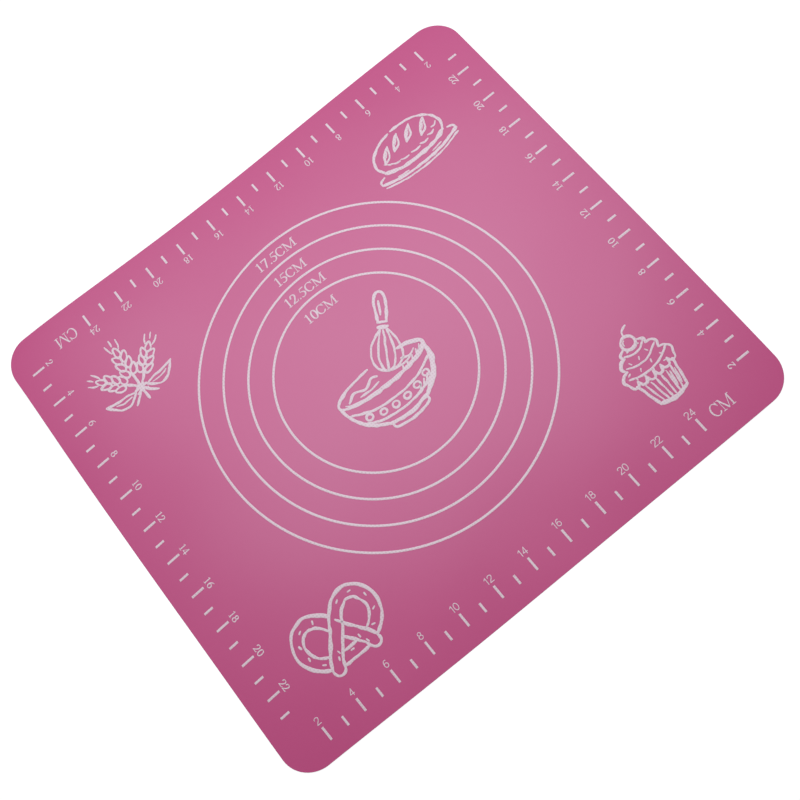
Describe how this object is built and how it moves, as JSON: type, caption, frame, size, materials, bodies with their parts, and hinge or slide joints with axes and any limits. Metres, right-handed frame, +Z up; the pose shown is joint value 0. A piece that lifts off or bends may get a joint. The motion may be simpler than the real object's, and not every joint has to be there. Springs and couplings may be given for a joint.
{
  "type": "silicone baking mat",
  "caption": "Thin flat rectangular silicone sheet with round corners, printed with concentric guide rings and a centimetre scale along each edge, for rolling dough and lining a tray.",
  "frame": {"origin": "centre of the underside, on the surface that the mat lies on", "axes": "+X along the front edge to the right, the longest side; +Y from the front edge to the back edge; +Z up out of the printed face, the thickness"},
  "size_m": [0.29, 0.26, 0.0005],
  "materials": {
    "silicone": "matte pink platinum-cured silicone with a very fine grain",
    "printing_ink": "screen-printed white silicone ink, satin"
  },
  "bodies": {
    "root": {"silicone_sheet": "silicone", "guide_ring_1": "printing_ink", "guide_ring_2": "printing_ink", "guide_ring_3": "printing_ink", "guide_ring_4": "printing_ink", "front_long_marks": "printing_ink", "front_short_marks": "printing_ink", "right_long_marks": "printing_ink", "right_short_marks": "printing_ink", "back_long_marks": "printing_ink", "back_short_marks": "printing_ink", "left_long_marks": "printing_ink", "left_short_marks": "printing_ink"}
  },
  "joints": []
}
